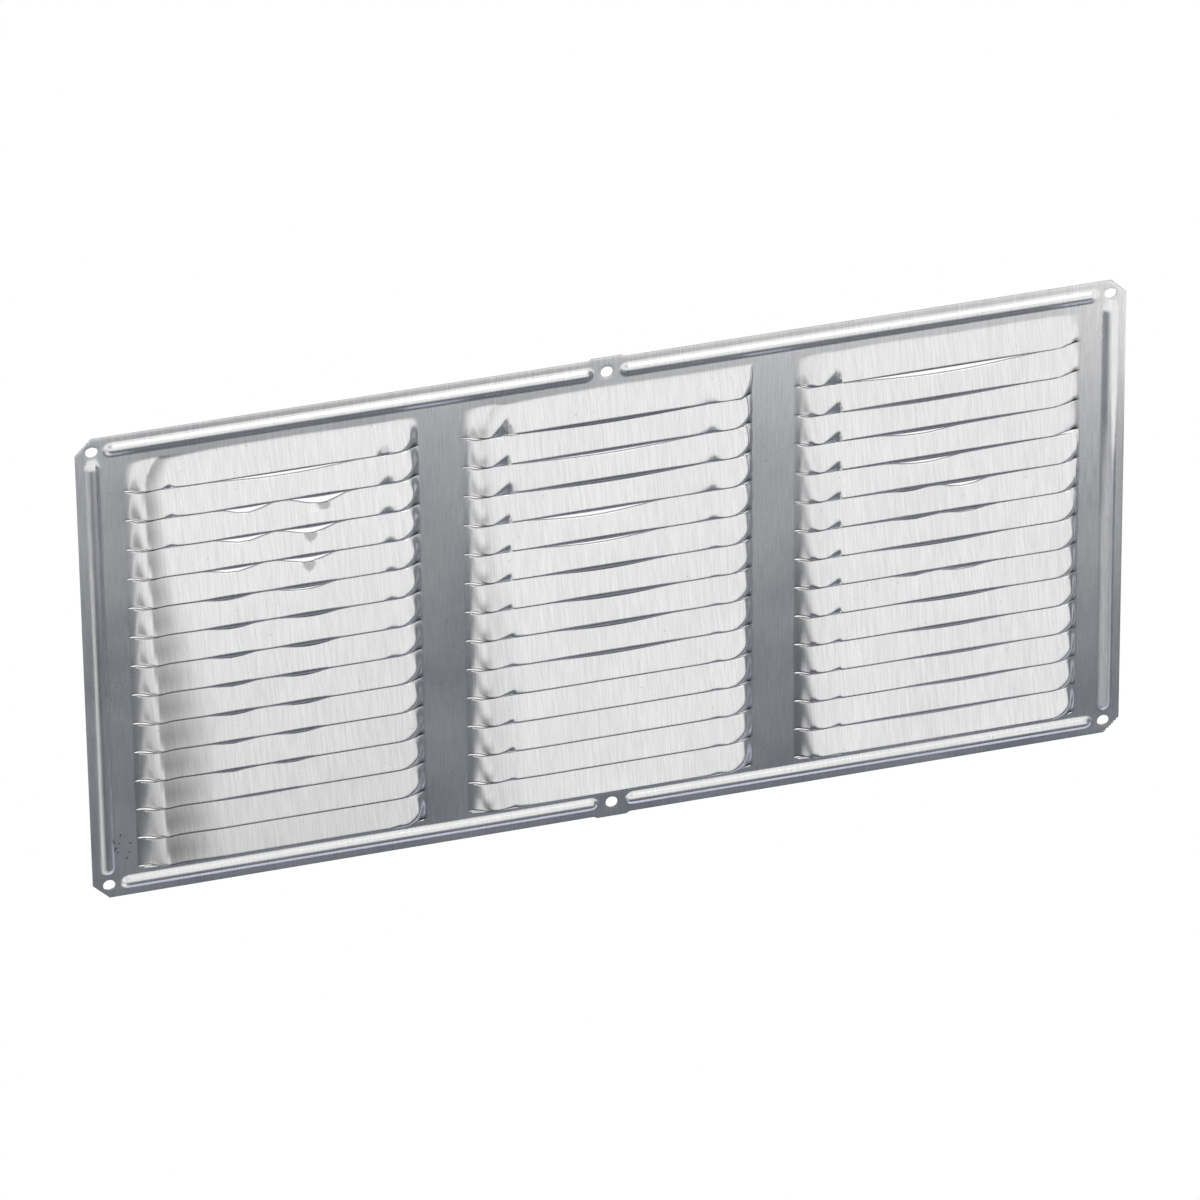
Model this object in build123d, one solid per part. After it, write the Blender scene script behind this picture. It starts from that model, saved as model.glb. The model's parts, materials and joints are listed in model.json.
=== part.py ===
from build123d import *
import os

# Under eave vent pressed from one sheet of aluminium. All sizes are in millimetres.
# Sheet axes: x runs along the width, y up the sheet, z out of its front face, and the back lies at z = 0.

# Sheet
sheet_width = 406.4
sheet_height = 203.2
sheet_thickness = 0.5
corner_cut = 6.35
edge_draw_in = 0.8

# Nail holes, and the line round the rim that they share with the beads
hole_diameter = 4.76
rim_line_inset = 6.35

# Stiffening beads in the rim
bead_width = 5.0
bead_height = 1.2
bead_corner_gap = 11.2
bead_hole_gap = 5.6

# Louvre banks
bank_count = 3
bank_spacing = 129.0
slits_per_bank = 14
slit_spacing = 12.7
slit_length = 112.7
slit_width = 2.0
slit_end_taper = 0.7

# Louvre blades: how far the upper and lower edges stand out, and how long the ramps at the ends are
upper_rise = 1.7
lower_rise = 4.8
upper_ramp = 3.5
lower_ramp = 6.5
top_blade_ramp = 12.0
ramp_bend_radius = 2.0

# Sizes that follow
half_width = sheet_width / 2
half_height = sheet_height / 2
half_slit_width = slit_width / 2
half_blade = slit_length / 2 - slit_end_taper
bank_top = slit_spacing * slits_per_bank / 2
hole_x = half_width - rim_line_inset
hole_y = half_height - rim_line_inset
tab_width = 2 * bead_hole_gap + edge_draw_in
bank_centres = [bank_spacing * (bank - (bank_count - 1) / 2) for bank in range(bank_count)]
slit_heights = [bank_top - slit_spacing * (slit + 1) for slit in range(slits_per_bank)]
window_bottom = slit_heights[-1] - half_slit_width


def sheet_outline():
    """Outline with cut corners, its long edges drawn in along the beads but not at the middle holes."""
    drawn_edge = half_height - edge_draw_in
    body = Rectangle(sheet_width, 2 * drawn_edge)
    body = chamfer(body.vertices(), corner_cut)
    half_tab = tab_width / 2
    tab = Polygon(
        (-half_tab - edge_draw_in, drawn_edge),
        (half_tab + edge_draw_in, drawn_edge),
        (half_tab, half_height),
        (-half_tab, half_height),
        align=None,
    )
    return body + tab + mirror(tab, about=Plane.XZ)


def nail_holes():
    """Four corner holes, and one in the middle of each long side."""
    places = [(x, y) for x in (-hole_x, 0, hole_x) for y in (-hole_y, hole_y)]
    return Sketch() + [Pos(x, y) * Circle(hole_diameter / 2) for x, y in places]


def bank_window():
    """Opening that the blades of one bank fill, with the tapered ends of the slits at its sides."""
    opening = Pos(0, (bank_top + window_bottom) / 2) * Rectangle(2 * half_blade, bank_top - window_bottom)
    slit = Rectangle(slit_length, slit_width)
    slit = chamfer(slit.vertices(), slit_end_taper)
    return opening + [Pos(0, y) * slit for y in slit_heights]


def sheet_section(front, height):
    """Face one sheet thickness deep behind a front line, set across the sheet at one height."""
    back = Pos(0, -sheet_thickness) * front
    sides = [Line(front @ end, back @ end) for end in (0, 1)]
    section = make_face([*front.edges(), *back.edges(), *sides])
    return Plane((0, height, 0), x_dir=(1, 0, 0), z_dir=(0, -1, 0)) * section


def blade_section(height, rise, ramp):
    """Section along a blade: a ramp up from each end of the slits and a level middle."""
    crest = half_blade - ramp
    front_level = sheet_thickness + rise
    front_points = [
        (-half_blade, sheet_thickness),
        (-crest, front_level),
        (crest, front_level),
        (half_blade, sheet_thickness),
    ]
    return sheet_section(FilletPolyline(*front_points, radius=ramp_bend_radius), height)


def bend_line_section(height):
    """Section along the bend at the head of the top blade, level, and divided like a blade's section."""
    half_bend = ramp_bend_radius / 2
    crest = half_blade - top_blade_ramp
    right_stations = [crest - half_bend, crest + half_bend, half_blade]
    stations = [-x for x in reversed(right_stations)] + right_stations
    return sheet_section(Polyline(*[(x, sheet_thickness) for x in stations]), height)


def blade(lower_slit):
    """One blade above a slit. The top one is bent out of the sheet, and the others are free at both edges."""
    if lower_slit == 0:
        head = bend_line_section(bank_top)
    else:
        upper_edge = slit_heights[lower_slit - 1] - half_slit_width
        head = blade_section(upper_edge, upper_rise, upper_ramp)
    lower_edge = slit_heights[lower_slit] + half_slit_width
    foot = blade_section(lower_edge, lower_rise, lower_ramp)
    return loft([head, foot], ruled=True)


def bead_form(length):
    """Hump of a bead on the plane z = 0, its straight part along x and a round end at each side."""
    half_bead = bead_width / 2
    crown = ThreePointArc((-half_bead, 0), (0, bead_height), (half_bead, 0))
    profile = make_face([crown, Line(crown @ 1, crown @ 0)])
    straight = extrude(Plane.YZ * profile, length / 2, both=True)
    dome = revolve(Plane.XZ * split(profile, bisect_by=Plane.YZ), Axis.Z, 180)
    right_end = Pos(length / 2, 0) * Rot(0, 0, -90) * dome
    left_end = Pos(-length / 2, 0) * Rot(0, 0, 90) * dome
    return straight + right_end + left_end


# Beads: where each one's middle lies, its length, and its turn about z
end_reach = bead_width / 2
long_start = bead_hole_gap + end_reach
long_end = half_width - bead_corner_gap - end_reach
long_length = long_end - long_start
long_middle = (long_end + long_start) / 2
side_length = 2 * (half_height - bead_corner_gap - end_reach)
bead_places = [(Pos(x, y), long_length) for x in (-long_middle, long_middle) for y in (-hole_y, hole_y)]
bead_places += [(Pos(x, 0) * Rot(0, 0, 90), side_length) for x in (-hole_x, hole_x)]

# Flat sheet with its outline, nail holes and bank openings
flat_sheet = sheet_outline() - nail_holes()
flat_sheet -= [Pos(x, 0) * bank_window() for x in bank_centres]
panel = extrude(flat_sheet, sheet_thickness)

# Beads raised out of the front and hollow behind
beads = [place * bead_form(length) for place, length in bead_places]
panel += [Pos(0, 0, sheet_thickness) * bead for bead in beads]
panel -= beads

# Blades of the three banks
blades = [blade(slit) for slit in range(slits_per_bank)]
panel += [Pos(x, 0) * one for x in bank_centres for one in blades]

# Upright, with the front facing -Y
louvre_panel = Plane.XZ * panel

os.makedirs("parts", exist_ok=True)
export_step(louvre_panel, "parts/louvre_panel.step")
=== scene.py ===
"""Dresses a pressed under eave vent: one thin sheet of mill aluminium with three banks of louvre blades."""

import json
import math
import random
from typing import Callable, NamedTuple

import bpy
import numpy as np
from bpy.props import FloatProperty, FloatVectorProperty, IntProperty, PointerProperty
from mathutils import Matrix, Vector


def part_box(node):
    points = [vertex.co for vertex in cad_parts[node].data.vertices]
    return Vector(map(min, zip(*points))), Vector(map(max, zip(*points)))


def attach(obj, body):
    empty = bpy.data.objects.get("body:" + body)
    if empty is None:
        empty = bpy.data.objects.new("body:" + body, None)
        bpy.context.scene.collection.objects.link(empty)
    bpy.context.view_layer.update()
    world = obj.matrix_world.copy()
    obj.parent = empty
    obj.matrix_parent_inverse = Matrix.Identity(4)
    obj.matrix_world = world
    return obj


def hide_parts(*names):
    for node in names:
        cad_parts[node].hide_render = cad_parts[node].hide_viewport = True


bl_info = {
    "name": "Under Eave Vent",
    "version": (1, 0, 0),
    "blender": (4, 5, 0),
    "location": "3D View > Sidebar > Vent",
    "description": "Builds a pressed louvre panel of mill aluminium and the pale stage that it is shown on",
    "category": "Object",
}

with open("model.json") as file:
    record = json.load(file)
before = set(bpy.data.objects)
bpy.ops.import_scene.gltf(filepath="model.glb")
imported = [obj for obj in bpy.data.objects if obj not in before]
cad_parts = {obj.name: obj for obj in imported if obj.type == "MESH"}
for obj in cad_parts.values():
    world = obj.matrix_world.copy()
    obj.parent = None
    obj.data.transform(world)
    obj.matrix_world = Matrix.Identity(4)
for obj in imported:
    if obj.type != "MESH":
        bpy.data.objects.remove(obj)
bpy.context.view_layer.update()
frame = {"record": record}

NODE = "louvre_panel"
MM = 0.001

# Sizes that the frame gives
sheet_low, sheet_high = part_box(NODE)
mounts = {mount["name"]: mount for mount in frame["record"]["mounts"]}
corner_holes = mounts["corner_nail_holes"]["dims"]
half_width = sheet_high.x
half_height = sheet_high.z
hole_x = corner_holes["spacing_x_mm"] / 2 * MM
hole_z = corner_holes["spacing_y_mm"] / 2 * MM
hole_radius = corner_holes["hole_r_mm"] * MM
nail_holes = [(x, z) for x in (-hole_x, 0, hole_x) for z in (-hole_z, hole_z)]


def length(name, description, size):
    """A length that a user may change, given in millimetres."""
    return FloatProperty(name=name, description=description, default=size * MM, min=0, unit="LENGTH")


class VentSheetSizes(bpy.types.PropertyGroup):
    """Sizes of the flat sheet, its rim and its beads."""

    thickness: length("Thickness", "Thickness of the sheet", 0.5)
    corner_cut: length("Corner cut", "How much each corner is cut back along both sides", 6.35)
    edge_draw_in: length("Edge draw-in", "How far the long edges are drawn in along the beads", 0.8)
    edge_rounding: length("Edge rounding", "Width of the rounded front edge of the sheet and its holes", 0.7)
    bead_width: length("Bead width", "Width of a stiffening bead", 5.0)
    bead_height: length("Bead height", "Height of a stiffening bead", 1.2)
    bead_corner_gap: length("Bead corner gap", "From the sheet's outer side to the end of a bead", 11.2)
    bead_hole_gap: length("Bead hole gap", "From the middle of a middle nail hole to the end of a bead", 5.6)


class VentLouvreSizes(bpy.types.PropertyGroup):
    """Sizes of the slits and blades."""

    banks: IntProperty(name="Banks", description="Banks of blades side by side", default=3, min=1)
    rows: IntProperty(name="Rows", description="Blades in each bank", default=14, min=1)
    bank_spacing: length("Bank spacing", "From the middle of a bank to the middle of the next", 129.0)
    slit_spacing: length("Slit spacing", "From one slit to the next", 12.7)
    slit_length: length("Slit length", "Length of a slit", 112.7)
    slit_width: length("Slit width", "Width of a slit", 2.0)
    left_closing: length("Left closing", "Length over which a slit closes at its left end", 6.5)
    right_closing: length("Right closing", "Length over which a slit closes at its right end", 9.0)
    upper_rise: length("Upper rise", "How far a blade's upper edge stands out", 1.7)
    lower_rise: length("Lower rise", "How far a blade's lower edge stands out", 4.8)
    lip: length("Lip", "Height of the rounded lip along a blade's lower edge", 0.55)


class VentFinish(bpy.types.PropertyGroup):
    """Colours and values of the mill finish."""

    light_metal: FloatVectorProperty(
        name="Light metal", description="Colour of the metal between the rolling lines",
        subtype="COLOR", size=3, min=0, max=1, default=(0.90, 0.90, 0.89))
    dark_metal: FloatVectorProperty(
        name="Dark metal", description="Colour of the metal in the rolling lines",
        subtype="COLOR", size=3, min=0, max=1, default=(0.75, 0.75, 0.755))
    roughness: FloatProperty(
        name="Roughness", description="Mean roughness of the mill finish",
        subtype="FACTOR", default=0.29, min=0, max=1)


class VentStage(bpy.types.PropertyGroup):
    """Camera, light and surroundings."""

    azimuth: FloatProperty(
        name="Azimuth", description="How far to the left of the front the camera stands",
        subtype="ANGLE", default=math.radians(15.75))
    elevation: FloatProperty(
        name="Elevation", description="How far above the level the camera stands",
        subtype="ANGLE", default=math.radians(32.04))
    roll: FloatProperty(
        name="Roll", description="Turn of the camera about its own axis",
        subtype="ANGLE", default=math.radians(-0.67))
    distance: FloatProperty(
        name="Distance", description="From the camera to the point it looks at",
        default=4.0, min=0.1, unit="LENGTH")
    lens: FloatProperty(name="Lens", description="Focal length in millimetres", default=319.1, min=1)
    floor_drop: FloatProperty(
        name="Floor drop", description="How far the floor lies below the vent",
        default=2.5, min=0, unit="LENGTH")


# Curves that the shapes and scuffs are made of


def fade(distance, reach):
    """1 at an edge, falling straight to 0 at reach from it."""
    return np.clip(1 - distance / reach, 0, 1)


def rounding_drop(distance, width, drop):
    """How far a rounded edge falls back at a distance from that edge."""
    return drop * fade(distance, width) ** 2


def eased_ramp(along, foot, crest):
    """Climbs from 0 to 1 as along does, straight in the middle and rounded at foot and crest."""
    slope = 1 / (1 - foot / 2 - crest / 2)
    along = np.clip(along, 0, 1)
    start = slope * along ** 2 / (2 * foot)
    middle = slope * (along - foot / 2)
    end = 1 - slope * (1 - along) ** 2 / (2 * crest)
    return np.where(along < foot, start, np.where(along < 1 - crest, middle, end))


def arch(place, middle, reach):
    """A round arch of height 1 at middle that ends at reach to both sides."""
    return np.clip(1 - ((place - middle) / reach) ** 2, 0, 1)


def hump(place, middle, reach):
    """An arch that runs out softly at both ends."""
    return arch(place, middle, reach) ** 2


def lens(place, middle, reach):
    """An arch that runs out thin at both ends, as the gap between two bent blades does."""
    return arch(place, middle, reach) ** 1.4


def dome(place, middle, reach):
    """An arch with a broad crown and steep ends."""
    return np.sqrt(arch(place, middle, reach))


def lopsided_hump(place, middle, before, after):
    """A hump whose reach differs before and after its middle."""
    return np.where(place < middle, hump(place, middle, before), hump(place, middle, after))


def wedge(place, start, end):
    """Rises straight from 0 at start to 1 at end, and falls off at once."""
    share = (place - start) / (end - start)
    return np.where((share > 0) & (share < 1), share, 0)


# Gaps between blades, in millimetres along a slit from its left end


class Gap(NamedTuple):
    """An open gap at a slit, where the blade below dips and the lip of the blade above hangs."""

    slit: int
    start: float
    end: float
    dip: float
    hang: float


left_gaps = [
    (0, 32, 90, 1.6, 0.2),
    (1, 36, 56, 2.8, 0.5), (1, 62, 86, 3.3, 0.7),
    (2, 34, 55, 2.5, 0.6), (2, 58, 82, 2.9, 0.8),
    (3, 30, 51, 2.3, 0.7), (3, 57, 80, 2.6, 0.9),
    (4, 28, 48, 1.3, 1.3), (4, 55, 80, 2.0, 1.3),
    (5, 29, 49, 0.5, 1.6), (5, 57, 82, 1.2, 1.6),
    (6, 29, 48, 0, 1.6), (6, 56, 80, 0.5, 1.8),
    (7, 29, 48, 0, 1.4), (7, 54, 76, 0, 1.6),
    (8, 29, 48, 0, 1.4), (8, 54, 76, 0, 1.5),
    (9, 29, 46, 0, 1.2), (9, 53, 73, 0, 1.3),
    (10, 29, 45, 0, 1.0), (10, 51, 69, 0, 1.1),
    (11, 29, 66, 0, 0.6),
]
middle_gaps = [
    (0, 16, 97, 0.4, 1.4),
    (1, 17, 95, 1.6, 0.8),
    (2, 19, 94, 1.4, 1.3),
    (3, 23, 78, 2.3, 0.7),
    (4, 26, 78, 1.9, 1.0),
    (5, 29, 79, 1.2, 1.6),
    (6, 32, 83, 0.5, 1.7),
    (7, 32, 82, 0.2, 1.6),
    (8, 28, 86, 0, 1.3),
]
right_gaps = [
    (0, 17, 98, 2.2, 0.4),
    (1, 16, 92, 1.2, 1.0),
    (2, 16, 98, 0.5, 1.0), (2, 32, 66, 1.7, 0.2),
    (3, 16, 98, 0.4, 1.0), (3, 35, 68, 2.1, 0.4),
    (4, 17, 98, 0, 0.8), (4, 36, 52, 0.8, 1.0), (4, 55, 78, 2.6, 0.5),
    (5, 17, 84, 0, 0.7), (5, 39, 54, 1.0, 0.9), (5, 58, 78, 1.7, 0.8),
    (6, 28, 84, 1.0, 1.4),
    (7, 34, 86, 0, 0.3), (7, 39, 54, 1.2, 0.9), (7, 56, 78, 1.6, 0.8),
    (8, 39, 85, 0.4, 1.4),
    (9, 38, 85, 0, 1.2),
    (10, 41, 88, 0, 0.9),
    (11, 41, 92, 0, 0.9),
    (12, 17, 94, 0, 0.8),
]
gaps = [[Gap(*values) for values in bank] for bank in (left_gaps, middle_gaps, right_gaps)]


def gap_sum(bank, slit, place, size):
    """Sum of the dips or the hangs, as size says, of one slit's gaps along it, in metres."""
    total = np.zeros_like(place)
    for gap in gaps[bank]:
        if gap.slit == slit:
            middle = (gap.start + gap.end) / 2
            reach = (gap.end - gap.start) / 2
            total = total + getattr(gap, size) * lens(place, middle, reach) * MM
    return total


# Marks that the press has left on the blades, in millimetres


class PressMark(NamedTuple):
    """A mark at the lower edges of one bank's blades, which slopes back to the edge below its outline.

    The outline takes a place and an extent along the blade, and both may drift from row to row.
    """

    bank: int
    outline: Callable
    heights: tuple
    place: float
    place_drift: float
    extent: float
    extent_drift: float
    slope: float


def scaled(scale, heights):
    """The heights, all made larger by the same scale."""
    return tuple(scale * height for height in heights)


# Heights of the marks, blade by blade from the top
left_dents = (4.5, 3.7, 3.3, 2.6, 2.2, 1.9, 1.5, 1.5, 0, 0, 0, 0, 0, 1.2)
left_ovals = (1.8, 1.5, 1.2)
middle_facets = scaled(1.25, (5.2, 3.3, 3.6, 2.8, 2.3, 2.3, 1.8, 1.5, 1.0, 1.6, 1.4, 1.6, 0.9, 0.9))
middle_dents = (3.6, 3.6, 3.2, 3.2, 2.3, 1.4, 1.0, 1.0, 1.0, 1.0, 1.0, 1.0, 1.0, 1.2)
right_facets = scaled(1.2, (4.9, 4.2, 3.8, 3.6, 2.9, 2.7, 2.7, 2.6, 2.3, 1.3, 1.3, 1.0, 1.3, 0.4))
right_nicks = (1.6,) * len(right_facets)

press_marks = [
    PressMark(0, dome, left_dents, 99.0, 0.12, 3.2, -0.1, slope=0.36),
    PressMark(0, hump, left_ovals, 16.2, 0, 3.4, 0, slope=0.6),
    PressMark(1, wedge, middle_facets, 9.5, 0.2, 17.2, 0, slope=0.62),
    PressMark(1, dome, middle_dents, 95.6, 0.1, 2.6, 0, slope=0.36),
    PressMark(2, wedge, right_facets, 9.0, 0.3, 17.0, 0, slope=0.55),
    PressMark(2, hump, right_nicks, 5.6, 0.1, 1.6, 0, slope=0.5),
]

# How far a blade's marks may lie to the right and to the left of their place
mark_play = (-0.5, 0.1)

# Drop-shaped marks at the upper edges of the left bank: blade, and place along it
left_drops = {2: 75.5, 3: 70.0, 4: 69.0}
drop_length = 4.9
drop_half_width = 2.9
drop_relief = 0.3


def press_drop(bank, row, place, lower):
    """How far the press has pushed a blade back near its lower edge."""
    chance = random.Random(100 * bank + row)
    near = place + chance.uniform(*mark_play)
    drop = 0
    for mark in press_marks:
        if mark.bank == bank and row < len(mark.heights):
            mark_place = mark.place + mark.place_drift * row
            mark_extent = mark.extent + mark.extent_drift * row
            height = mark.heights[row] * mark.outline(near, mark_place, mark_extent) * MM
            drop = drop + mark.slope * np.maximum(height - lower, 0)
    return drop


def drop_mask(row, place, upper):
    """1 inside the drop-shaped mark at the upper edge of a blade, and 0 outside it."""
    depth = dome(upper / MM, 0, drop_length)
    half_mark = drop_half_width * np.maximum(depth, 0.01)
    return np.clip(2 * (1 - ((place - left_drops[row]) / half_mark) ** 2), 0, 1) * (depth > 0)


# Grid lines of the sheet: offsets in millimetres, closer together where the sheet bends more
edge_offsets = (0, 0.3, 0.7, 1.6)
bead_offsets = (0, 0.7, 1.4, 2.1, 2.8, 3.6)
bead_end_offsets = (-0.4, 0.3, 1.0, 1.8, 2.8)
left_end_offsets = (-3.0, -1.2, -0.4, 0, 0.5, 1.2, *range(2, 18), 17.5, 19.0)
right_end_offsets = (-3.0, -1.2, -0.4, 0, 0.35, 0.9, 1.6, 2.3, 3.0, 3.8, 4.6, 5.6, 6.8, 8.2,
                     10.0, 11.6, 13.0, 14.4, 15.8, 17.4, 19.0)
drop_row_offsets = (3.2, 4.1)
drop_offsets = (66.2, 67.2, 68.1, *range(69, 78), 78.2)
head_offsets = (-0.5, 0, 0.7, 1.6, 3.0, 5.0)
upper_edge_offsets = (0, 0.5, 1.7)
lower_edge_offsets = (0, 0.22, 0.6, 1.2, 2.0, 3.0, 4.2, 5.8)
foot_offsets = (0, 0.5, 1.4)
span_step = 4.8
least_step = 0.15
tiny = 0.01 * MM

# A nail hole starts as a square block of cells, and the grid is bent around it up to the last bead offset
hole_square = bead_offsets[3] * MM
hole_reach = bead_offsets[5] * MM


def bank_middles(louvre):
    """x of the middle of each bank, from left to right."""
    return [louvre.bank_spacing * (bank - (louvre.banks - 1) / 2) for bank in range(louvre.banks)]


def slit_heights(louvre):
    """z of each slit, from the top down."""
    top = louvre.slit_spacing * louvre.rows / 2
    return [top - louvre.slit_spacing * (row + 1) for row in range(louvre.rows)]


def spread(values):
    """Sorted values, without those that lie closer than the least step to the one before."""
    kept = []
    for value in sorted(values):
        if not kept or value - kept[-1] > least_step * MM:
            kept.append(value)
    return np.array(kept)


def column_lines(sheet, louvre):
    """x of the grid's columns, from left to right."""
    lines = []
    for side in (-1, 1):
        lines += [side * (half_width - offset * MM) for offset in edge_offsets]
        for offset in bead_offsets:
            lines += [side * (hole_x - offset * MM), side * (hole_x + offset * MM), side * offset * MM]
        for offset in bead_end_offsets:
            inner_end = sheet.bead_hole_gap + offset * MM
            outer_end = half_width - sheet.bead_corner_gap - offset * MM
            lines += [side * inner_end, side * outer_end]
    middles = bank_middles(louvre)
    half = louvre.slit_length / 2
    reach = half - left_end_offsets[-1] * MM
    steps = round(2 * reach / (span_step * MM))
    for middle in middles:
        lines += [middle - half + offset * MM for offset in left_end_offsets]
        lines += [middle + half - offset * MM for offset in right_end_offsets]
        lines += list(np.linspace(middle - reach, middle + reach, steps + 1)[1:-1])
    lines += [middles[0] - half + offset * MM for offset in drop_offsets]
    lines += [(left + right) / 2 for left, right in zip(middles, middles[1:])]
    return spread(lines)


def row_lines(louvre):
    """z of the grid's rows, from the foot of the sheet to its head."""
    lines = []
    for side in (-1, 1):
        lines += [side * (half_height - offset * MM) for offset in edge_offsets]
        for offset in bead_offsets:
            lines += [side * (hole_z - offset * MM), side * (hole_z + offset * MM)]
    slits = slit_heights(louvre)
    head = slits[0] + louvre.slit_spacing
    lines += [head - offset * MM for offset in head_offsets]
    for row, slit in enumerate(slits):
        below = list(upper_edge_offsets)
        if row == louvre.rows - 1:
            below = list(foot_offsets)
        if row + 1 in left_drops:
            below += drop_row_offsets
        lines += [slit + louvre.slit_width / 2 + offset * MM for offset in lower_edge_offsets]
        lines += [slit - louvre.slit_width / 2 - offset * MM for offset in below]
    return spread(lines)


# Beads. The powers give them a broad crown and a soft foot
bead_crown_power = 3
bead_foot_power = 1.2
crown_gain = 1.4


def bead_profile(distance, sheet):
    """Height of a bead at a distance from its middle line."""
    share = np.clip(distance / (sheet.bead_width / 2), 0, 1)
    return sheet.bead_height * (1 - share ** bead_crown_power) ** bead_foot_power


def side_bead_end(sheet):
    """How far up and down the middle line of a bead at the side of the sheet reaches."""
    return half_height - sheet.bead_corner_gap - sheet.bead_width / 2


def bead_rise(x, z, sheet):
    """Height of the beads at points of the sheet."""
    end_reach = sheet.bead_width / 2
    long_start = sheet.bead_hole_gap + end_reach
    long_end = half_width - sheet.bead_corner_gap - end_reach
    past_long = np.maximum(np.maximum(long_start - np.abs(x), np.abs(x) - long_end), 0)
    past_side = np.maximum(np.abs(z) - side_bead_end(sheet), 0)
    rise = np.zeros_like(x)
    for side in (-1, 1):
        rise = np.maximum(rise, bead_profile(np.hypot(past_long, z - side * hole_z), sheet))
        rise = np.maximum(rise, bead_profile(np.hypot(past_side, x - side * hole_x), sheet))
    return rise


def side_bead_crown(x, z, sheet, side):
    """1 on the crown of the bead along one side of the sheet, falling to 0 at its foot."""
    crown = np.clip(crown_gain * bead_profile(np.abs(x - side * hole_x), sheet) / sheet.bead_height, 0, 1)
    return crown * (np.abs(z) < side_bead_end(sheet))


# Ends of the blades: lengths in millimetres for the left, middle and right bank, growing from row to row
left_ramp_upper = (6.8, 6.6, 6.4)
left_ramp_lower = (7.8, 8.4, 7.4)
left_ramp_growth = (0.3, 0.1, 0.1)
left_ramp_bow = 1.6
right_ramp_middle = (3.4, 1.9, 1.9)
right_ramp_growth = (0.05, 0.2, 0.12)
right_ramp_edges = 5.2
right_bulge_middle = 0.45
right_bulge_bow = 2.2
upper_bulge = (1, 0.3, 0.5)
soft_right_rows = (0, 0, 4)
soft_right_ramp = 11.0
top_corner = 7.0

# The one blade with a blunt right end, by bank and row
blunt_blade = (1, 0)
blunt_right_ramp = 0.35
blunt_right_foot = 6.0

# Foot and crest of the curves that ramps and slits end in, as shares of their length
left_ramp_easing = (0.5, 0.5)
right_ramp_easing = (0.25, 0.3)
left_slit_easing = (0.15, 0.5)
right_slit_easing = (0.4, 0.4)
top_blade_easing = (0.2, 0.02)

# Left ends of the slits, which stay open a little, in millimetres for the three banks
least_opening = 0.06
slit_end_opening = (0.42, 0.3, 0.1)
slit_end_growth = (0, 0.01, 0.06)
slit_end_growing_rows = 6
slit_end_place = 1.8
slit_end_reach = 2.6

# Faces and lips of the blades: lengths in millimetres, and shares
top_blade_start = 0.035
top_blade_share = 0.93
hollow_depth = (0.55, 0.25, 0.1)
hollow_place = 5.0
hollow_run_out = 16.0
hollow_at_end = 0.4
blade_wave = 0.03
blade_wave_lengths = (9.0, 15.0)
left_lip = 0.4
left_lip_place = 6.0
left_lip_reach = 5.0
right_lip = 0.5
right_lip_place = 108.0
right_lip_reach = 4.5
lip_drop = 0.5
lip_edge = 0.6
hang_share = 0.8
edge_view_drop = 0.62
closing_reach = 3.0
dip_reach = 6.5

# Waves of the whole sheet, in millimetres
sheet_wave = 0.06
broad_wave = (61, 47)
broad_wave_start = (1.3, 0.4)
slanting_wave = (23, 31)


def sheet_waves(x, z):
    """Slight outward waves of the whole thin sheet."""
    first = np.sin(x / (broad_wave[0] * MM) + broad_wave_start[0])
    first = first * np.sin(z / (broad_wave[1] * MM) + broad_wave_start[1])
    second = np.sin(x / (slanting_wave[0] * MM) - z / (slanting_wave[1] * MM))
    return sheet_wave * MM * (2 + first + second) / 2


def blade_ramps(bank, row, down):
    """Lengths of a blade's two end ramps, given how far down the blade they are taken."""
    left = left_ramp_upper[bank] + (left_ramp_lower[bank] - left_ramp_upper[bank]) * down ** left_ramp_bow
    left = left + left_ramp_growth[bank] * row
    bulge = np.abs(2 * down - 2 * right_bulge_middle) ** right_bulge_bow
    bulge = np.where(down < right_bulge_middle, upper_bulge[bank] * bulge, bulge)
    right = right_ramp_middle[bank] + right_ramp_growth[bank] * row + right_ramp_edges * bulge
    if row < soft_right_rows[bank]:
        right = soft_right_ramp + bulge
    if row == 0:
        corner = top_corner * (1 - down) ** 2
        left = left + corner
        right = right + corner / 2
    if (bank, row) == blunt_blade:
        right = blunt_right_ramp + blunt_right_foot * down ** 3
    return left * MM, right * MM


def slit_closing(bank, slit, from_left, from_right, louvre):
    """How far each edge of a slit comes in, as the slit closes towards its two ends."""
    left_close = eased_ramp(from_left / louvre.left_closing, *left_slit_easing)
    right_close = eased_ramp(from_right / louvre.right_closing, *right_slit_easing)
    left_end = slit_end_opening[bank] + slit_end_growth[bank] * min(slit, slit_end_growing_rows)
    least = least_opening * MM + left_end * MM * hump(from_left, slit_end_place * MM, slit_end_reach * MM)
    half_slit = louvre.slit_width / 2
    return half_slit - np.maximum(half_slit * left_close * right_close, least)


def blade_slope(row, down, louvre):
    """Rise of a blade between its ramps. The top blade of a bank is bent straight out of the sheet."""
    if row == 0:
        return louvre.lower_rise * eased_ramp(down * top_blade_share + top_blade_start, *top_blade_easing)
    return louvre.upper_rise + (louvre.lower_rise - louvre.upper_rise) * down


def blade_hollow(bank, past_crease, ends):
    """Depth of the shallow hollow in a blade's face to the right of its left ramp."""
    hollow = lopsided_hump(past_crease, hollow_place * MM, hollow_place * MM, hollow_run_out * MM)
    return hollow_depth[bank] * MM * hollow * (hollow_at_end + (1 - hollow_at_end) * ends)


def blade_waves(bank, row, x):
    """Slight waves along the face of one blade."""
    chance = random.Random(900 + 100 * bank + row)
    wave = sum(np.sin(x / (size * MM) + chance.uniform(0, 6)) for size in blade_wave_lengths)
    return blade_wave * MM * (2 + wave)


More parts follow.
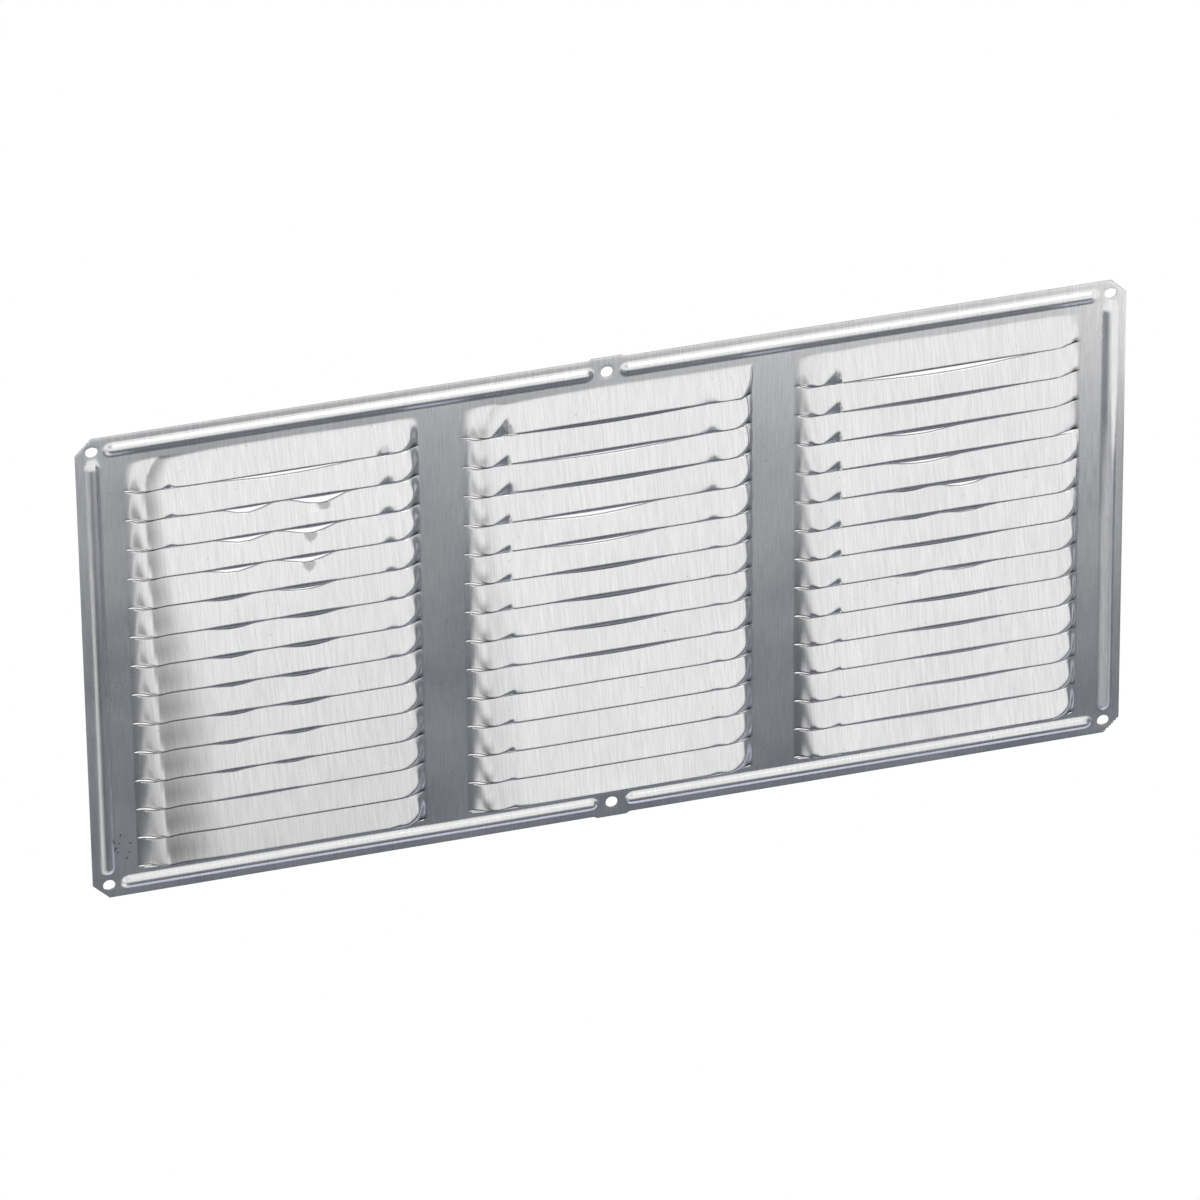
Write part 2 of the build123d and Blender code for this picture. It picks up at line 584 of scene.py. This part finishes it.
def blade_shape(bank, row, upper, lower, x, louvre, middle):
    """Rise of one blade, and how far its points are shifted up or down, over its rows and columns."""
    from_left = x - (middle - louvre.slit_length / 2)
    from_right = middle + louvre.slit_length / 2 - x
    down = upper / (upper + lower)
    place = from_left / MM

    left_ramp, right_ramp = blade_ramps(bank, row, down)
    ends = eased_ramp(from_left / left_ramp, *left_ramp_easing)
    ends = ends * eased_ramp(from_right / right_ramp, *right_ramp_easing)
    rise = blade_slope(row, down, louvre) * ends
    rise = rise - blade_hollow(bank, from_left - left_ramp, ends)
    rise = rise - blade_waves(bank, row, x) * ends

    lip = louvre.lip + left_lip * MM * hump(place, left_lip_place, left_lip_reach)
    lip = lip + right_lip * MM * hump(place, right_lip_place, right_lip_reach)
    hang = hang_share * gap_sum(bank, row, place, "hang") * fade(lower, lip_edge * MM)
    drop = rounding_drop(lower, lip, lip_drop * lip) + press_drop(bank, row, place, lower)
    drop = (drop + hang) * np.sqrt(ends)
    rise = rise - drop
    shift = -edge_view_drop * drop - hang * ends

    closing = slit_closing(bank, row, from_left, from_right, louvre)
    shift = shift - closing * fade(lower, closing_reach * MM)
    if row > 0:
        closing = slit_closing(bank, row - 1, from_left, from_right, louvre)
        shift = shift + closing * fade(upper, closing_reach * MM)
        shift = shift - gap_sum(bank, row - 1, place, "dip") * fade(upper, dip_reach * MM)
    if bank == 0 and row in left_drops:
        rise = rise + drop_relief * MM * drop_mask(row, place, upper) * fade(upper, dip_reach * MM)
    return np.maximum(rise, 0), shift


# Painted shade, where 1 is black: depths for the left, middle and right bank, and lengths in millimetres
# Painted shade in the hollow to the right of each left crease, and on the left ramp
crease_shade_depth = (0.55, 0.16, 0.05)
crease_shade_reach = (8.0, 5.0, 5.0)
crease_shade_start = 0.2
crease_shade_before = 0.7
crease_shade_growth = 2.2
crease_shade_least = 0.55
crease_shade_down = (0.45, 0.8)
growth_first_row = 3
growth_rows = 6
ramp_shade = (0.18, 0.12, 0.3)
ramp_shade_least = 0.2
ramp_shade_run_in = 3
low_row_darkening = (0.2, 0.05, 0.03)
drop_shade = 0.42
hang_shade = 0.75
left_bead_shade = 0.35
dent_shade = 0.4
slit_end_shade = 0.8
tick_shade = 0.85
tick_height = 1.2
tick_strength = 1.6
rubbed_length = 45

# Place and reach of painted shade along a blade, and of the painted shade of a dent above its lower edge
dent_shade_along = (7.2, 2.8)
dent_shade_above = (2.2, 3.2)
left_end_along = (5.0, 6.5)
right_end_along = (108.5, 5.0)
tick_along = (110.4, 2.4)


def crease_shade(bank, row, down, past_crease):
    """Painted shade on a blade's face from the crease at its left ramp onwards, longer in the lower rows,
    and on the ramp left of the crease.
    """
    growth = min(max((row - growth_first_row) / growth_rows, 0), 1)
    reach = crease_shade_reach[bank] * (1 + crease_shade_growth * growth)
    hollow_shade = crease_shade_depth[bank] * lopsided_hump(past_crease, 0, crease_shade_before, reach)
    hollow_shade = hollow_shade * (crease_shade_least + (1 - crease_shade_least) * hump(down, *crease_shade_down))
    ramp_tone = ramp_shade[bank] * (ramp_shade_least + (1 - ramp_shade_least) * growth)
    return hollow_shade + ramp_tone * np.clip(-past_crease / ramp_shade_run_in, 0, 1)


def blade_painted_shade(bank, row, upper, lower, x, louvre, middle):
    """How much painted shade darkens the metal of one blade, from 0 to 1."""
    place = (x - (middle - louvre.slit_length / 2)) / MM
    down = upper / (upper + lower)
    left_ramp = blade_ramps(bank, row, down)[0]
    painted_shade = crease_shade(bank, row, down, place - left_ramp / MM - crease_shade_start)
    # Darker towards the lower rows
    painted_shade = painted_shade + low_row_darkening[bank] * (row / louvre.rows) ** 2
    # Painted shade inside the drop-shaped marks of the left bank
    if bank == 0 and row in left_drops:
        painted_shade = painted_shade + drop_shade * drop_mask(row, place, upper)
    # Painted shade of a soft dent near the lower left of each blade in the middle bank
    if bank == 1:
        painted_shade = painted_shade + dent_shade * hump(place, *dent_shade_along) * hump(lower / MM, *dent_shade_above)
    edge_line = fade(lower, lip_edge * MM)
    # Painted shade along the lower edge where a lip hangs over an open gap
    painted_shade = painted_shade + hang_shade * edge_line * np.clip(gap_sum(bank, row, place, "hang") / MM, 0, 1)
    # Painted shade along the lower edges near both slit ends, then a small painted dark tick at the right
    # ends
    slit_ends = lens(place, *left_end_along) + hump(place, *right_end_along)
    painted_shade = painted_shade + slit_end_shade * edge_line * slit_ends
    tick = hump(place, *tick_along) * np.clip(tick_strength - lower / (tick_height * MM), 0, 1)
    return np.clip(painted_shade + tick_shade * tick, 0, 1)


# Front of the sheet


def cell_middles(lines):
    """Middles of the cells between grid lines."""
    return (lines[1:] + lines[:-1]) / 2


def columns_of_bank(columns, middle, louvre):
    """Numbers of the grid's columns that cross a bank."""
    return np.where(np.abs(columns - middle) < louvre.slit_length / 2 + tiny)[0]


def press_blades(columns, rows, louvre):
    """Rise, shift and painted shade that the blades give to the grid's points, and which of its cells stay
    metal.
    """
    rise, shift, painted_shade = np.zeros((3, len(rows), len(columns)))
    metal = np.ones((len(rows) - 1, len(columns) - 1), bool)
    slits = slit_heights(louvre)
    half_slit = louvre.slit_width / 2
    for row, slit in enumerate(slits):
        top = slits[0] + louvre.slit_spacing if row == 0 else slits[row - 1] - half_slit
        bottom = slit + half_slit
        in_blade = np.where((rows > bottom - tiny) & (rows < top + tiny))[0]
        upper = (top - rows[in_blade])[:, None]
        lower = (rows[in_blade] - bottom)[:, None]
        in_slit = np.abs(cell_middles(rows) - slit) < half_slit
        for bank, middle in enumerate(bank_middles(louvre)):
            in_bank = columns_of_bank(columns, middle, louvre)
            x = columns[in_bank][None, :]
            block = np.ix_(in_blade, in_bank)
            rise[block], shift[block] = blade_shape(bank, row, upper, lower, x, louvre, middle)
            painted_shade[block] = blade_painted_shade(bank, row, upper, lower, x, louvre, middle)
            along_slit = np.abs(cell_middles(columns) - middle) < louvre.slit_length / 2
            metal[np.ix_(in_slit, along_slit)] = False
    return rise, shift, painted_shade, metal


def close_last_slits(shift, columns, rows, louvre):
    """Shifts the sheet's edge below the last slits, which close as the others do."""
    foot_reach = 2 * MM
    foot_edge = slit_heights(louvre)[-1] - louvre.slit_width / 2
    below = np.where((rows < foot_edge + tiny) & (rows > foot_edge - foot_reach))[0]
    weight = 1 - (foot_edge - rows[below]) / foot_reach
    for bank, middle in enumerate(bank_middles(louvre)):
        in_bank = columns_of_bank(columns, middle, louvre)
        from_left = columns[in_bank] - (middle - louvre.slit_length / 2)
        from_right = louvre.slit_length - from_left
        closing = slit_closing(bank, louvre.rows - 1, from_left, from_right, louvre)
        shift[np.ix_(below, in_bank)] += weight[:, None] * closing[None, :]


def cut_holes(metal, columns, rows):
    """Takes the cells of the nail holes out of the metal."""
    for hole_middle_x, hole_middle_z in nail_holes:
        across = np.abs(cell_middles(columns) - hole_middle_x) < hole_square
        up = np.abs(cell_middles(rows) - hole_middle_z) < hole_square
        metal[np.ix_(up, across)] = False


def round_holes(x, z):
    """Grid points near a nail hole moved so that its square block of cells becomes a round hole."""
    for hole_middle_x, hole_middle_z in nail_holes:
        away_x = x - hole_middle_x
        away_z = z - hole_middle_z
        outer = np.maximum(np.abs(away_x), np.abs(away_z))
        straight = np.maximum(np.hypot(away_x, away_z), 1e-9)
        share = np.clip((hole_reach - outer) / (hole_reach - hole_square), 0, 1)
        grow = 1 + share * (outer / straight * hole_radius / hole_square - 1)
        near = outer < hole_reach
        x = np.where(near, hole_middle_x + away_x * grow, x)
        z = np.where(near, hole_middle_z + away_z * grow, z)
    return x, z


def front_surface(sheet, louvre):
    """The front's x, rise and z, which of its cells are metal, how much painted shade darkens it, and how
    rubbed it is.
    """
    columns = column_lines(sheet, louvre)
    rows = row_lines(louvre)
    x, z = np.meshgrid(columns, rows)
    rise, shift, painted_shade, metal = press_blades(columns, rows, louvre)
    rise = bead_rise(x, z, sheet) + sheet_waves(x, z) + rise
    close_last_slits(shift, columns, rows, louvre)
    z = z + shift

    half_tab = sheet.bead_hole_gap + sheet.edge_draw_in / 2
    drawn_in = sheet.edge_draw_in * np.clip((np.abs(x) - half_tab) / sheet.edge_draw_in, 0, 1)
    outward = np.clip((np.abs(z) - hole_z) / (half_height - hole_z), 0, 1)
    z = z - np.sign(z) * drawn_in * outward

    cut_holes(metal, columns, rows)
    x, z = round_holes(x, z)

    drawn_edge = half_height - sheet.edge_draw_in
    past_cut = (np.abs(x) - half_width + np.abs(z) - drawn_edge + sheet.corner_cut) / 2
    lost = past_cut > -tiny
    metal &= ~(lost[1:, 1:] & lost[:-1, 1:] & lost[1:, :-1] & lost[:-1, :-1])
    pulled = np.maximum(past_cut, 0)
    x = x - np.sign(x) * pulled
    z = z - np.sign(z) * pulled

    from_edge = np.minimum(half_width - np.abs(x), half_height - drawn_in - np.abs(z))
    from_edge = np.minimum(from_edge, -np.minimum(past_cut, 0) * math.sqrt(2))
    for hole_middle_x, hole_middle_z in nail_holes:
        from_edge = np.minimum(from_edge, np.hypot(x - hole_middle_x, z - hole_middle_z) - hole_radius)
    edge_drop = 0.04 * MM
    rise = rise - rounding_drop(np.maximum(from_edge, 0), sheet.edge_rounding, edge_drop)

    # Painted shade on the left half of the crown of the bead along the left side
    left_half = np.clip(0.5 - (x + hole_x) / MM, 0, 1)
    painted_shade = painted_shade + left_bead_shade * left_half * side_bead_crown(x, z, sheet, -1)
    rubbed = side_bead_crown(x, z, sheet, 1) * fade(z, rubbed_length * MM)
    return x, rise, z, metal, painted_shade, rubbed


# Sheet mesh

sharp_angle = math.radians(75)


def back_points(front, thickness):
    """Points one thickness behind the front, but never behind the flat back of the sheet."""
    across = np.gradient(front, axis=1)
    up = np.gradient(front, axis=0)
    normal = np.cross(across, up)
    normal /= np.maximum(np.linalg.norm(normal, axis=-1, keepdims=True), 1e-12)
    back = front - thickness * normal
    back[..., 1] = np.minimum(back[..., 1], 0)
    return back


def sheet_faces(metal):
    """Faces of the front, of the back and of the cut edges between them, as numbers of points."""
    height, width = metal.shape[0] + 1, metal.shape[1] + 1
    behind = height * width
    number = np.arange(behind).reshape(height, width)
    corners = [number[:-1, :-1], number[:-1, 1:], number[1:, 1:], number[1:, :-1]]
    front = np.stack([corner[metal] for corner in corners], axis=-1)
    edges = np.concatenate([front[:, [side, (side + 1) % 4]] for side in range(4)])
    keys = edges.min(axis=1).astype(np.int64) * behind + edges.max(axis=1)
    unique_keys, counts = np.unique(keys, return_counts=True)
    start, end = edges[np.isin(keys, unique_keys[counts == 1])].T
    cut_edges = np.stack([end, start, start + behind, end + behind], axis=-1)
    return front, front[:, ::-1] + behind, cut_edges


def sheet_mesh(sheet, louvre):
    """Closed mesh of the whole sheet: a front, a back one thickness behind it, and the cut edges between."""
    x, rise, z, metal, painted_shade, rubbed = front_surface(sheet, louvre)
    front = np.stack([x, -(sheet.thickness + rise), z], axis=-1)
    back = back_points(front, sheet.thickness)
    front_faces, back_faces, cut_edges = sheet_faces(metal)
    points = np.concatenate([front.reshape(-1, 3), back.reshape(-1, 3)])
    used, faces = np.unique(np.concatenate([front_faces, back_faces, cut_edges]), return_inverse=True)

    mesh = bpy.data.meshes.new(NODE)
    mesh.from_pydata(points[used].tolist(), [], faces.reshape(-1, 4).tolist())
    mesh.validate()
    mesh.polygons.foreach_set("use_smooth", [True] * len(mesh.polygons))
    mesh.set_sharp_from_angle(angle=sharp_angle)
    materials = np.zeros(len(mesh.polygons), np.int32)
    materials[len(front_faces) + len(back_faces):] = 1
    mesh.polygons.foreach_set("material_index", materials)
    for name, front_values in (("painted_shade", painted_shade), ("rubbed", rubbed)):
        values = np.concatenate([front_values.ravel(), np.zeros(front_values.size)])[used]
        mesh.attributes.new(name, "FLOAT", "POINT").data.foreach_set("value", values)
    mesh.update()
    return mesh


# Materials

rubbed_roughness = 0.32
cloud_roughness = 0.04
face_line_depth = 0.03 * MM
edge_line_depth = 0.02 * MM
# The cut edges take a darker copy of the mill finish: painted shade
edge_painted_shade = 0.75
edge_roughness = 0.45
speck_tint = (0.72, 0.72, 0.74, 1)
# Black that the painted shade darkens the metal towards
painted_shade_tint = (0, 0, 0, 1)
dirt_tint = (0.16, 0.16, 0.17, 1)
dirt_middle = (-half_width + 13 * MM, 0, -half_height + 23 * MM)
dirt_full_radius = 5 * MM
dirt_radius = 8 * MM


def add_node(tree, kind, place, inputs=None, **settings):
    """New node at a place in the node editor, with its settings and the values of its inputs."""
    node = tree.nodes.new(kind)
    node.location = place
    for name, value in settings.items():
        setattr(node, name, value)
    for name, value in (inputs or {}).items():
        node.inputs[name].default_value = value
    return node


def add_range(tree, place, from_min, from_max, to_min=0, to_max=1):
    """Map Range node between the given limits."""
    limits = {"From Min": from_min, "From Max": from_max, "To Min": to_min, "To Max": to_max}
    return add_node(tree, "ShaderNodeMapRange", place, limits)


def rolling_grain_group():
    """Node group for fine rolling lines, soft clouds, small specks and dirt at the lower left corner."""
    tree = bpy.data.node_groups.new("Rolling grain", "ShaderNodeTree")
    link = tree.links.new
    for name, value in (("Lines per metre", 1700), ("Line stretch", 0.05)):
        socket = tree.interface.new_socket(name, in_out="INPUT", socket_type="NodeSocketFloat")
        socket.default_value = value
    for name in ("Lines", "Clouds", "Specks", "Dirt"):
        tree.interface.new_socket(name, in_out="OUTPUT", socket_type="NodeSocketFloat")
    inputs = add_node(tree, "NodeGroupInput", (-900, 0))
    outputs = add_node(tree, "NodeGroupOutput", (600, 0))
    place = add_node(tree, "ShaderNodeTexCoord", (-900, 250)).outputs["Object"]

    stretch = add_node(tree, "ShaderNodeCombineXYZ", (-700, 0), {"X": 1})
    stretched = add_node(tree, "ShaderNodeVectorMath", (-500, 150), operation="MULTIPLY")
    lines = add_node(tree, "ShaderNodeTexNoise", (-300, 200), {"Detail": 3, "Roughness": 0.6})
    link(inputs.outputs["Line stretch"], stretch.inputs["Y"])
    link(inputs.outputs["Line stretch"], stretch.inputs["Z"])
    link(place, stretched.inputs[0])
    link(stretch.outputs["Vector"], stretched.inputs[1])
    link(stretched.outputs["Vector"], lines.inputs["Vector"])
    link(inputs.outputs["Lines per metre"], lines.inputs["Scale"])
    link(lines.outputs["Fac"], outputs.inputs["Lines"])

    clouds = add_node(tree, "ShaderNodeTexNoise", (-300, -100), {"Scale": 28, "Detail": 4})
    link(place, clouds.inputs["Vector"])
    link(clouds.outputs["Fac"], outputs.inputs["Clouds"])

    specks = add_node(tree, "ShaderNodeTexNoise", (-300, -350), {"Scale": 900, "Detail": 1})
    picked = add_range(tree, (0, -350), 0.73, 0.80)
    link(place, specks.inputs["Vector"])
    link(specks.outputs["Fac"], picked.inputs["Value"])
    link(picked.outputs["Result"], outputs.inputs["Specks"])

    from_corner = add_node(tree, "ShaderNodeVectorMath", (-300, -600), operation="DISTANCE")
    from_corner.inputs[1].default_value = dirt_middle
    near_corner = add_range(tree, (-100, -600), dirt_full_radius, dirt_radius, 1, 0)
    spots = add_node(tree, "ShaderNodeTexNoise", (-300, -850), {"Scale": 420, "Detail": 1})
    picked_spots = add_range(tree, (-100, -850), 0.65, 0.74)
    dirt = add_node(tree, "ShaderNodeMath", (200, -700), operation="MULTIPLY")
    link(place, from_corner.inputs[0])
    link(from_corner.outputs["Value"], near_corner.inputs["Value"])
    link(place, spots.inputs["Vector"])
    link(spots.outputs["Fac"], picked_spots.inputs["Value"])
    link(near_corner.outputs["Result"], dirt.inputs[0])
    link(picked_spots.outputs["Result"], dirt.inputs[1])
    link(dirt.outputs["Value"], outputs.inputs["Dirt"])
    return tree


def metal_colour(tree, pattern, finish, shade):
    """Output with the colour of the metal: rolling lines, then specks, painted shade and dirt over them."""
    link = tree.links.new
    dark = [shade * value for value in finish.dark_metal] + [1]
    light = [shade * value for value in finish.light_metal] + [1]
    contrast = add_range(tree, (-800, 200), 0.32, 0.68)
    lined = add_node(tree, "ShaderNodeMix", (-600, 200), {"A": dark, "B": light}, data_type="RGBA")
    link(pattern.outputs["Lines"], contrast.inputs["Value"])
    link(contrast.outputs["Result"], lined.inputs["Factor"])

    # Painted shade, read from the mesh attribute and multiplied in as black
    painted_shade = add_node(tree, "ShaderNodeAttribute", (-600, 500), attribute_name="painted_shade")
    layers = (
        (pattern.outputs["Specks"], "MULTIPLY", speck_tint),
        (painted_shade.outputs["Fac"], "MULTIPLY", painted_shade_tint),
        (pattern.outputs["Dirt"], "MIX", dirt_tint),
    )
    colour = lined.outputs["Result"]
    for step, (mask, blend, tint) in enumerate(layers):
        layer = add_node(tree, "ShaderNodeMix", (180 * step - 400, 300), data_type="RGBA", blend_type=blend)
        layer.inputs["B"].default_value = tint
        link(mask, layer.inputs["Factor"])
        link(colour, layer.inputs["A"])
        colour = layer.outputs["Result"]
    return colour


def metal_roughness(tree, pattern, roughness):
    """Output with the roughness of the metal: soft clouds, and rougher where it is rubbed."""
    link = tree.links.new
    least = roughness - cloud_roughness
    most = roughness + cloud_roughness
    cloudy = add_range(tree, (-600, -100), 0.3, 0.7, least, most)
    rubbed = add_node(tree, "ShaderNodeAttribute", (-600, -350), attribute_name="rubbed")
    rougher = add_node(tree, "ShaderNodeMath", (-350, -100), {1: rubbed_roughness}, operation="MULTIPLY_ADD")
    link(pattern.outputs["Clouds"], cloudy.inputs["Value"])
    link(rubbed.outputs["Fac"], rougher.inputs[0])
    link(cloudy.outputs["Result"], rougher.inputs[2])
    return rougher.outputs["Value"]


def mill_material(name, finish, grain, shade, roughness, line_depth):
    """Bare aluminium as it leaves the mill, darkened by a factor of painted shade, with rolling lines of the
    given depth.
    """
    material = bpy.data.materials.new(name)
    material.use_nodes = True
    tree = material.node_tree
    link = tree.links.new
    shader = tree.nodes["Principled BSDF"]
    shader.inputs["Metallic"].default_value = 1
    pattern = add_node(tree, "ShaderNodeGroup", (-1000, 0), node_tree=grain)
    bump = add_node(tree, "ShaderNodeBump", (-350, -300), {"Strength": 0.35, "Distance": line_depth})
    link(pattern.outputs["Lines"], bump.inputs["Height"])
    link(metal_colour(tree, pattern, finish, shade), shader.inputs["Base Color"])
    link(metal_roughness(tree, pattern, roughness), shader.inputs["Roughness"])
    link(bump.outputs["Normal"], shader.inputs["Normal"])
    return material


# Stage, in metres

floor_reach = 12.0
looked_at = Vector((-3.5 * MM, 0, -4.3 * MM))
key_place = Vector((0.6, -1.8, 1.65))
key_size = 0.9
key_power = 5

# Matt colour of each finish, and the plain colour that the eye and reflections see instead, if any
stage_finishes = {
    "pale_floor": ((0.9, 0.9, 0.9), (1, 1, 1)),
    "dark_flag": ((0.2, 0.222, 0.27), None),
    "white_card": ((0.9, 0.9, 0.9), (1, 1, 1)),
    "grey_flag": ((0.34, 0.35, 0.37), None),
    "pale_flag": ((0.46, 0.47, 0.49), None),
    "blue_card": ((0.8, 0.8, 0.9), (0.82, 0.82, 1.0)),
}

level_height = sheet_low.z - 0.25
standing_foot = sheet_low.z - 0.9


def level(outline, height=level_height):
    """Corners of a level panel with an outline in x and y."""
    return [(x, y, height) for x, y in outline]


def standing(foot, bottom, top):
    """Corners of an upright panel over a line in x and y."""
    return level(foot, bottom) + level(reversed(foot), top)


# Flags and cards that only reflections see: name, finish and corners
flags = [
    ("low_flag", "dark_flag", level([
        (-0.6, -0.86), (0.0, -0.84), (0.13, -0.80), (0.25, -0.74), (0.38, -0.60), (0.7, -0.45),
        (1.3, -0.1), (-0.22, -0.1), (-0.22, -0.3), (-0.6, -0.34)])),
    ("left_flag", "grey_flag", level([(-1.3, -0.6), (-0.72, -0.6), (-0.72, 0.1), (-1.3, 0.1)])),
    ("side_flag", "dark_flag", standing([(0.98, -1.08), (1.5, -0.1)], level_height, 0.75)),
    ("gap_flag", "pale_flag", level([
        (0.38, -0.60), (0.98, -1.08), (1.5, -0.1), (1.3, -0.1), (0.7, -0.45)])),
    ("under_card", "blue_card", level([(-0.22, -0.1), (1.3, -0.1), (1.3, 0.05), (-0.22, 0.05)])),
    ("behind_flag", "dark_flag", level([
        (-0.22, 0.05), (1.3, 0.05), (1.3, 0.25), (0.5, 0.25), (0.4, 0.1), (-0.22, 0.1)])),
    ("right_card", "white_card", standing([(0.24, 0), (0.24, -0.1)], 0, 0.14)),
    ("back_flag", "pale_flag", standing([(-3, 2.2), (3, 2.2)], standing_foot, 0.2)),
    ("far_flag", "pale_flag", standing([(-3.5, -3.5), (-3.5, -0.8)], standing_foot, -0.1)),
]


def plain_material(name, colour, seen_as):
    """Matt material. With seen_as it has that plain colour to the eye and in reflections."""
    material = bpy.data.materials.new(name)
    material.use_nodes = True
    tree = material.node_tree
    link = tree.links.new
    shader = tree.nodes["Principled BSDF"]
    shader.inputs["Base Color"].default_value = (*colour, 1)
    shader.inputs["Roughness"].default_value = 0.9
    if seen_as:
        path = add_node(tree, "ShaderNodeLightPath", (-600, 0))
        seen = add_node(tree, "ShaderNodeMath", (-400, 0), operation="ADD")
        either = add_node(tree, "ShaderNodeMath", (-200, 0), operation="ADD", use_clamp=True)
        plain = add_node(tree, "ShaderNodeEmission", (0, -200), {"Color": (*seen_as, 1)})
        mixed = add_node(tree, "ShaderNodeMixShader", (300, 0))
        link(path.outputs["Is Camera Ray"], seen.inputs[0])
        link(path.outputs["Is Glossy Ray"], seen.inputs[1])
        link(seen.outputs[0], either.inputs[0])
        link(path.outputs["Is Transmission Ray"], either.inputs[1])
        link(either.outputs[0], mixed.inputs["Fac"])
        link(shader.outputs[0], mixed.inputs[1])
        link(plain.outputs[0], mixed.inputs[2])
        link(mixed.outputs[0], tree.nodes["Material Output"].inputs["Surface"])
    return material


def flat_panel(name, corners, material):
    """Flat panel of the stage with the given corners."""
    mesh = bpy.data.meshes.new(name)
    mesh.from_pydata(corners, [], [range(len(corners))])
    mesh.materials.append(material)
    panel = bpy.data.objects.new(name, mesh)
    bpy.context.scene.collection.objects.link(panel)
    return panel


def add_surroundings(stage):
    """Floor under the vent, and the flags and cards around it."""
    finishes = {name: plain_material(name, *colours) for name, colours in stage_finishes.items()}
    far = floor_reach
    floor_outline = [(-far, -far), (far, -far), (far, far), (-far, far)]
    flat_panel("floor", level(floor_outline, sheet_low.z - stage.floor_drop), finishes["pale_floor"])
    for name, finish, corners in flags:
        flag = flat_panel(name, corners, finishes[finish])
        flag.visible_camera = False
        flag.visible_diffuse = False
        flag.visible_shadow = False


def add_camera(stage):
    """Camera to the left of the front and above, rolled a little."""
    azimuth, elevation, roll = stage.azimuth, stage.elevation, stage.roll
    level_share = math.cos(elevation)
    back = Vector((-math.sin(azimuth) * level_share, -math.cos(azimuth) * level_share, math.sin(elevation)))
    right = Vector((math.cos(azimuth), -math.sin(azimuth), 0))
    up = back.cross(right)
    rolled_right = math.cos(roll) * right + math.sin(roll) * up
    rolled_up = math.cos(roll) * up - math.sin(roll) * right
    optics = bpy.data.cameras.new("camera")
    optics.sensor_width = 36
    optics.lens = stage.lens
    optics.clip_end = 100
    camera = bpy.data.objects.new("camera", optics)
    bpy.context.scene.collection.objects.link(camera)
    turn = Matrix((rolled_right, rolled_up, back)).transposed().to_4x4()
    camera.matrix_world = Matrix.Translation(looked_at + stage.distance * back) @ turn
    bpy.context.scene.camera = camera


def add_key_light():
    """Soft square lamp that shines at the middle of the vent."""
    lamp = bpy.data.lights.new("soft_key", "AREA")
    lamp.size = key_size
    lamp.energy = key_power
    holder = bpy.data.objects.new("soft_key", lamp)
    holder.location = key_place
    holder.rotation_euler = (-key_place).to_track_quat("-Z", "Y").to_euler()
    bpy.context.scene.collection.objects.link(holder)


def add_world():
    """White surroundings that turn grey overhead, where only reflections and lighting see the grey."""
    world = bpy.data.worlds.new("studio")
    world.use_nodes = True
    tree = world.node_tree
    link = tree.links.new
    background = tree.nodes["Background"]
    background.inputs["Color"].default_value = (1, 1, 1, 1)
    direction = add_node(tree, "ShaderNodeTexCoord", (-900, 0))
    parts = add_node(tree, "ShaderNodeSeparateXYZ", (-700, 0))
    overhead = add_range(tree, (-500, 0), 0.34, 0.60, 1, 0.4)
    path = add_node(tree, "ShaderNodeLightPath", (-500, 300))
    brighter = add_node(tree, "ShaderNodeMath", (-250, 100), operation="MAXIMUM")
    link(direction.outputs["Generated"], parts.inputs["Vector"])
    link(parts.outputs["Z"], overhead.inputs["Value"])
    link(path.outputs["Is Camera Ray"], brighter.inputs[0])
    link(overhead.outputs["Result"], brighter.inputs[1])
    link(brighter.outputs["Value"], background.inputs["Strength"])
    bpy.context.scene.world = world


# Operators and panel


class VENT_OT_sheet(bpy.types.Operator):
    """Build the pressed sheet with its banks of blades"""

    bl_idname = "vent.sheet"
    bl_label = "Pressed sheet"

    def execute(self, context):
        scene = context.scene
        finish = scene.vent_finish
        grain = rolling_grain_group()
        face = mill_material("mill_face", finish, grain, 1, finish.roughness, face_line_depth)
        edge = mill_material("sheared_edge", finish, grain, edge_painted_shade, edge_roughness, edge_line_depth)
        mesh = sheet_mesh(scene.vent_sheet, scene.vent_louvre)
        mesh.materials.append(face)
        mesh.materials.append(edge)
        panel = bpy.data.objects.new("vent_sheet", mesh)
        scene.collection.objects.link(panel)
        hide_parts(NODE)
        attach(panel, "root")
        return {"FINISHED"}


class VENT_OT_stage(bpy.types.Operator):
    """Set up the floor, the light and the camera"""

    bl_idname = "vent.stage"
    bl_label = "Stage"

    def execute(self, context):
        context.scene.view_settings.view_transform = "Standard"
        stage = context.scene.vent_stage
        add_surroundings(stage)
        add_key_light()
        add_world()
        add_camera(stage)
        return {"FINISHED"}


class VENT_PT_panel(bpy.types.Panel):
    """Lists what can be built and the sizes that it takes"""

    bl_label = "Under eave vent"
    bl_idname = "VENT_PT_panel"
    bl_space_type = "VIEW_3D"
    bl_region_type = "UI"
    bl_category = "Vent"

    def draw(self, context):
        layout = self.layout
        for operator in (VENT_OT_sheet, VENT_OT_stage):
            layout.operator(operator.bl_idname)
        for group in groups:
            settings = getattr(context.scene, group)
            for name in settings.bl_rna.properties.keys():
                if name not in ("rna_type", "name"):
                    layout.prop(settings, name)


groups = {
    "vent_sheet": VentSheetSizes,
    "vent_louvre": VentLouvreSizes,
    "vent_finish": VentFinish,
    "vent_stage": VentStage,
}
classes = (*groups.values(), VENT_OT_sheet, VENT_OT_stage, VENT_PT_panel)


def register():
    """Register the classes, and give each scene the groups of sizes and colours."""
    for one in classes:
        bpy.utils.register_class(one)
    for name, group in groups.items():
        setattr(bpy.types.Scene, name, PointerProperty(type=group))


def unregister():
    """Take the groups and the classes away again."""
    for name in groups:
        delattr(bpy.types.Scene, name)
    for one in reversed(classes):
        bpy.utils.unregister_class(one)


def main():
    """Build the vent and its stage."""
    register()
    bpy.ops.vent.sheet()
    bpy.ops.vent.stage()


if __name__ == "__main__":
    main()
